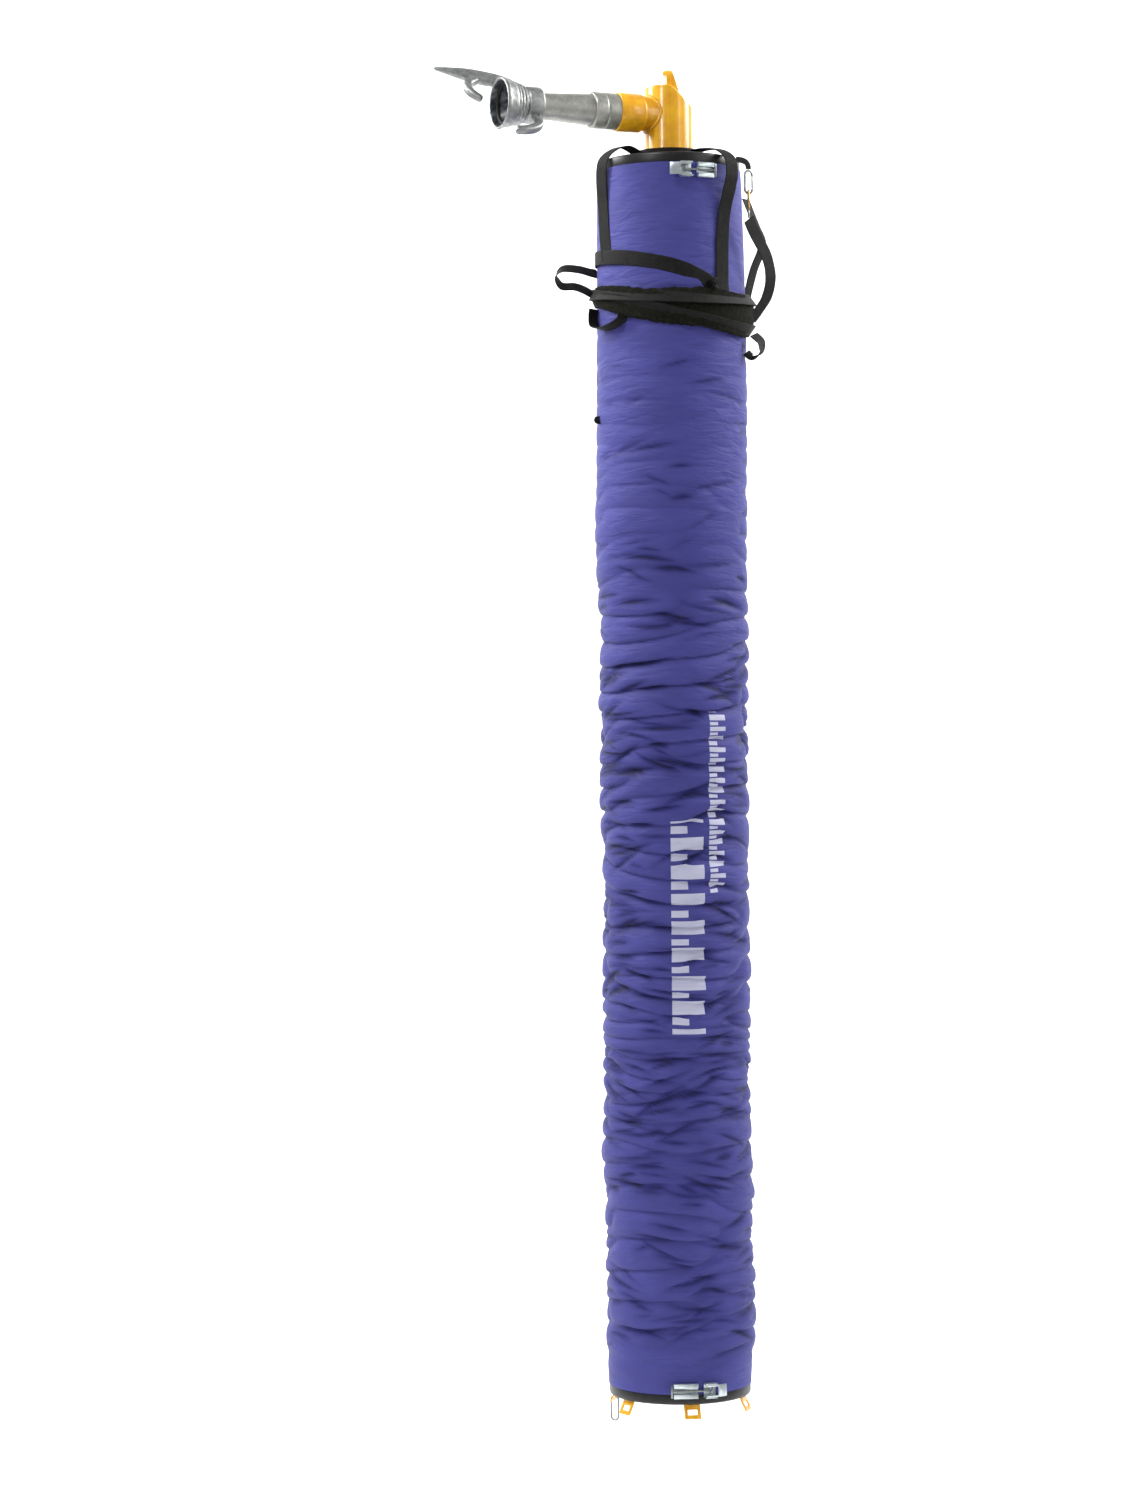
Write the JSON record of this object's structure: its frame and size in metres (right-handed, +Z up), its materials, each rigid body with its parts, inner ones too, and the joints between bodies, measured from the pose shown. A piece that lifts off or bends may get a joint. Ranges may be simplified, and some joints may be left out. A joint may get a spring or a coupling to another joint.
{
  "type": "vacuum lifting tube",
  "caption": "Hanging lifting tube with fabric-covered hose, swivel elbow, lifting eye, lever hose coupling, end plates with toggle latches and webbing carrying harness.",
  "frame": {"origin": "centre of the lifting eye's hole, on the tube's axis", "axes": "+Z up along the tube, -Y the front, the suction pipe points to -X and 24 degrees to the front"},
  "size_m": [0.7092, 0.3872, 2.8235],
  "materials": {
    "yellow_enamel": "gloss golden yellow enamel",
    "galvanised_steel": "dull hot-dip galvanised steel",
    "seal_rubber": "black moulded rubber",
    "bright_steel": "bright zinc-plated steel",
    "black_paint": "black satin powder coat",
    "zinc_plate": "bright zinc plate",
    "hose_rubber": "black coated hose fabric",
    "spring_steel": "drawn spring steel",
    "cover_nylon": "blue-violet woven nylon",
    "black_webbing": "black woven polyester webbing",
    "brass": "yellow passivated or brass finish"
  },
  "bodies": {
    "head": {"suspension_eye": "yellow_enamel", "swivel_elbow": "yellow_enamel", "suction_collar": "galvanised_steel", "suction_pipe": "galvanised_steel", "coupling_cup": "galvanised_steel", "coupling_seal": "seal_rubber", "retaining_ring": "bright_steel", "thrust_bearing": "bright_steel"},
    "coupling_ring": {"lever_ring": "galvanised_steel", "ear_pin_near": "bright_steel", "ear_pin_far": "bright_steel"},
    "closing_hook": {"coupling_hook": "galvanised_steel"},
    "closing_lever": {"hand_lever": "galvanised_steel"},
    "tube_top": {"top_plate": "black_paint", "neck_bush": "black_paint", "shaft_seal": "seal_rubber", "upper_hose_clamp": "zinc_plate", "upper_draw_band": "bright_steel", "top_latch_base": "zinc_plate", "top_latch_catch": "zinc_plate", "lifting_hose": "hose_rubber", "hose_spring_wire": "spring_steel", "cover_sleeve": "cover_nylon", "harness_neck_loop": "black_webbing", "harness_strap_front_left": "black_webbing", "harness_strap_front_right": "black_webbing", "harness_strap_back_left": "black_webbing", "harness_strap_back_right": "black_webbing", "harness_diagonal": "black_webbing", "harness_wrap": "black_webbing", "harness_knot": "black_webbing", "harness_tab": "black_webbing", "harness_loop_left": "black_webbing", "harness_loop_low_left": "black_webbing", "harness_strap_side": "black_webbing", "harness_strap_crossing": "black_webbing", "harness_loop_low_right": "black_webbing", "cover_strap_stub": "black_webbing", "snap_ring": "bright_steel", "trigger_hook_eye": "bright_steel"},
    "top_lever": {"top_latch_lever": "zinc_plate"},
    "top_bail": {"top_latch_bail": "bright_steel"},
    "tube_foot": {"foot_plate": "black_paint", "lower_hose_clamp": "zinc_plate", "lower_draw_band": "bright_steel", "foot_latch_base": "zinc_plate", "foot_latch_catch": "zinc_plate", "foot_lug_1": "yellow_enamel", "foot_lug_2": "yellow_enamel", "foot_lug_3": "yellow_enamel", "foot_lug_4": "yellow_enamel", "foot_lug_5": "yellow_enamel", "foot_lug_6": "yellow_enamel"},
    "foot_lever": {"foot_latch_lever": "zinc_plate"},
    "foot_bail": {"foot_latch_bail": "bright_steel"},
    "hanging_link": {"oblong_link": "bright_steel"},
    "ring_gate": {"snap_ring_gate": "bright_steel"},
    "trigger_body": {"trigger_hook": "brass"},
    "trigger_gate": {"trigger_hook_gate": "brass"}
  },
  "joints": [
    {"name": "tube_swivel", "type": "hinge", "parent": "head", "child": "tube_top", "pos_m": [0, 0, -0.165], "axis": [0, 0, 1], "continuous": true},
    {"name": "lift_stroke", "type": "slide", "parent": "tube_top", "child": "tube_foot", "axis": [0, 0, 1], "range_m": [0, 1.6], "deforming": ["lifting_hose", "hose_spring_wire", "cover_sleeve"]},
    {"name": "ring_turn", "type": "hinge", "parent": "head", "child": "coupling_ring", "pos_m": [-0.28503, -0.1269, -0.066], "axis": [-0.9135, -0.4067, 0], "continuous": true},
    {"name": "hook_open", "type": "hinge", "parent": "coupling_ring", "child": "closing_hook", "pos_m": [-0.27122, -0.15791, -0.09994], "axis": [0.2876, -0.646, 0.7071], "range_deg": [0, 75]},
    {"name": "lever_open", "type": "hinge", "parent": "coupling_ring", "child": "closing_lever", "pos_m": [-0.29883, -0.09589, -0.03206], "axis": [-0.2876, 0.646, -0.7071], "range_deg": [0, 110]},
    {"name": "top_latch_open", "type": "hinge", "parent": "tube_top", "child": "top_lever", "pos_m": [0.03652, -0.15948, -0.203], "axis": [0, 0, 1], "range_deg": [0, 120]},
    {"name": "top_bail_turn", "type": "hinge", "parent": "top_lever", "child": "top_bail", "pos_m": [0.02784, -0.15798, -0.203], "axis": [0, 0, 1], "range_deg": [-120, 0]},
    {"name": "foot_latch_open", "type": "hinge", "parent": "tube_foot", "child": "foot_lever", "pos_m": [0.05354, -0.1546, -2.694], "axis": [0, 0, -1], "range_deg": [0, 120]},
    {"name": "foot_bail_turn", "type": "hinge", "parent": "foot_lever", "child": "foot_bail", "pos_m": [0.06011, -0.14872, -2.694], "axis": [0, 0, -1], "range_deg": [-120, 0]},
    {"name": "link_swing", "type": "hinge", "parent": "tube_foot", "child": "hanging_link", "pos_m": [-0.13583, 0.05488, -2.7415], "axis": [-0.3746, -0.9272, 0], "range_deg": [-12, 3]},
    {"name": "snap_ring_gate_open", "type": "hinge", "parent": "tube_top", "child": "ring_gate", "pos_m": [0.1677, -0.09041, -0.2336], "axis": [0.4226, -0.9063, 0], "range_deg": [0, 22], "stiffness_Nm_per_rad": 0.02, "springref_deg": -5.73},
    {"name": "trigger_swivel", "type": "hinge", "parent": "tube_top", "child": "trigger_body", "pos_m": [0.16, -0.094, -0.2933], "axis": [0, 0, 1], "range_deg": [-4, 15]},
    {"name": "trigger_gate_open", "type": "hinge", "parent": "trigger_body", "child": "trigger_gate", "pos_m": [0.16074, -0.08553, -0.2478], "axis": [-0.9962, 0.0872, 0], "range_deg": [0, 22], "stiffness_Nm_per_rad": 0.02, "springref_deg": -5.73}
  ],
  "couplings": [
    {"joint": "top_bail_turn", "follows": "top_latch_open", "ratio": -1},
    {"joint": "foot_bail_turn", "follows": "foot_latch_open", "ratio": -1}
  ]
}
